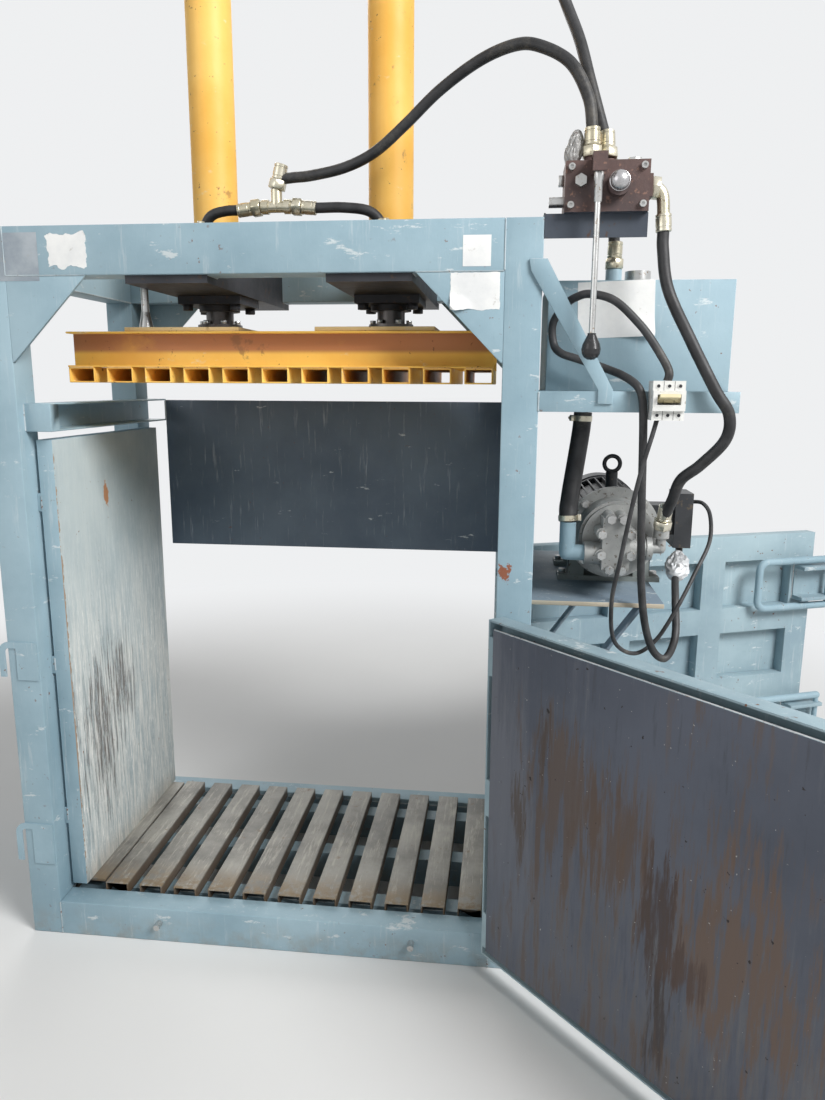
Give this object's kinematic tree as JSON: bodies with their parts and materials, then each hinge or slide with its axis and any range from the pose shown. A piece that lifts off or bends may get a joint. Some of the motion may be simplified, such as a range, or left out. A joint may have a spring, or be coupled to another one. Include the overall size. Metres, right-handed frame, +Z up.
{
  "type": "recycling baler",
  "caption": "Down-stroke recycling baler in worn grey-blue and orange paint, with swinging ribbed doors, slotted platen and floor, and a side-mounted hydraulic power pack",
  "frame": {"origin": "on the ground under the middle of the four posts, on the lower face of the middle floor bearer", "axes": "+Z up, +Y to the back, +X to the tank and motor side; the front faces -Y"},
  "size_m": [2.698, 2.3515, 3.2753],
  "materials": {
    "frame_paint": "worn grey-blue paint on steel",
    "dark_paint": "dark, stained paint on steel",
    "worn_steel": "bare steel, worn and dusty",
    "ochre_paint": "yellow-orange paint on steel",
    "plated_steel": "plated steel",
    "rusty_casting": "rusty red-brown casting",
    "grey_casting": "grey casting",
    "black_rubber": "black rubber",
    "white_plastic": "off-white plastic",
    "cream_plastic": "cream plastic"
  },
  "bodies": {
    "frame": {"sills": "frame_paint", "side_sills": "frame_paint", "floor_bearers": "frame_paint", "floor_edge": "worn_steel", "floor_slats": "worn_steel", "sill_pins": "plated_steel", "front_posts": "frame_paint", "rear_posts": "frame_paint", "top_beams": "frame_paint", "top_side_rails": "frame_paint", "gussets": "frame_paint", "cylinder_bridges": "dark_paint", "side_rails": "frame_paint", "side_wall_left": "frame_paint", "side_wall_right": "frame_paint", "rear_panel": "frame_paint", "keepers": "frame_paint", "hinge_ears": "dark_paint", "cylinder_barrels": "ochre_paint", "cylinder_glands": "dark_paint", "hose_fittings": "plated_steel", "tank_shelf": "frame_paint", "tank": "frame_paint", "tank_lid": "plated_steel", "valve_block": "rusty_casting", "motor_platform": "frame_paint", "motor_body": "grey_casting", "fan_cowl": "dark_paint", "pump": "grey_casting", "suction_pipe": "frame_paint", "breaker": "white_plastic", "hose_lower_feed": "black_rubber", "hose_upper_feed": "black_rubber", "hose_pressure": "black_rubber", "hose_return": "black_rubber", "hose_suction": "black_rubber", "hose_lower_left": "black_rubber", "hose_lower_right": "black_rubber", "hose_upper_left": "black_rubber", "hose_upper_right": "black_rubber", "cable_supply": "black_rubber", "cable_thin": "black_rubber"},
    "platen": {"platen_tubes": "ochre_paint", "platen_channels": "ochre_paint", "platen_plates": "ochre_paint", "piston_rods": "dark_paint", "pistons": "plated_steel", "guide_rod": "plated_steel"},
    "front_door": {"front_door_frame": "frame_paint", "front_door_liner": "dark_paint"},
    "rear_door": {"rear_door_frame": "frame_paint", "rear_door_liner": "dark_paint"},
    "front_bail_upper_body": {"front_bail_upper": "dark_paint"},
    "front_bail_lower_body": {"front_bail_lower": "dark_paint"},
    "rear_bail_upper_body": {"rear_bail_upper": "dark_paint"},
    "rear_bail_lower_body": {"rear_bail_lower": "dark_paint"},
    "lever": {"valve_lever": "plated_steel"},
    "spool": {"valve_spool": "plated_steel"},
    "toggle": {"breaker_toggle": "cream_plastic"},
    "rotor": {"motor_rotor": "plated_steel"}
  },
  "joints": [
    {"name": "platen_slide", "type": "slide", "parent": "frame", "child": "platen", "axis": [0, 0, -1], "range_m": [0, 1]},
    {"name": "front_door_hinge", "type": "hinge", "parent": "frame", "child": "front_door", "pos_m": [0.646, -0.439, 0.551], "axis": [0, 0, 1], "range_deg": [-134, 20]},
    {"name": "rear_door_hinge", "type": "hinge", "parent": "frame", "child": "rear_door", "pos_m": [0.646, 0.439, 0.551], "axis": [0, 0, 1], "range_deg": [-10, 158]},
    {"name": "front_bail_upper_pin", "type": "hinge", "parent": "front_door", "child": "front_bail_upper_body", "pos_m": [1.63186, -1.37064, 0.836], "axis": [0, 0, 1], "range_deg": [-170, 0]},
    {"name": "front_bail_lower_pin", "type": "hinge", "parent": "front_door", "child": "front_bail_lower_body", "pos_m": [1.63186, -1.37064, 0.287], "axis": [0, 0, 1], "range_deg": [-170, 0]},
    {"name": "rear_bail_upper_pin", "type": "hinge", "parent": "rear_door", "child": "rear_bail_upper_body", "pos_m": [1.9279, 0.8824, 0.856], "axis": [0, 0, 1], "range_deg": [0, 170]},
    {"name": "rear_bail_lower_pin", "type": "hinge", "parent": "rear_door", "child": "rear_bail_lower_body", "pos_m": [1.9279, 0.8824, 0.307], "axis": [0, 0, 1], "range_deg": [0, 170]},
    {"name": "valve_lever_pin", "type": "hinge", "parent": "frame", "child": "lever", "pos_m": [0.838, -0.45, 2.097], "axis": [0, 1, 0], "range_deg": [-15, 15]},
    {"name": "valve_spool_slide", "type": "slide", "parent": "frame", "child": "spool", "axis": [1, 0, 0], "range_m": [-0.0095, 0.0095]},
    {"name": "breaker_toggle_pin", "type": "hinge", "parent": "frame", "child": "toggle", "pos_m": [1.019, -0.457, 1.582], "axis": [1, 0, 0], "range_deg": [0, 32]},
    {"name": "motor_shaft_bearing", "type": "hinge", "parent": "frame", "child": "rotor", "pos_m": [0.95, 0, 1.21], "axis": [0, 1, 0], "continuous": true}
  ],
  "couplings": [
    {"joint": "valve_spool_slide", "follows": "valve_lever_pin", "m_per_rad": 0.035}
  ]
}
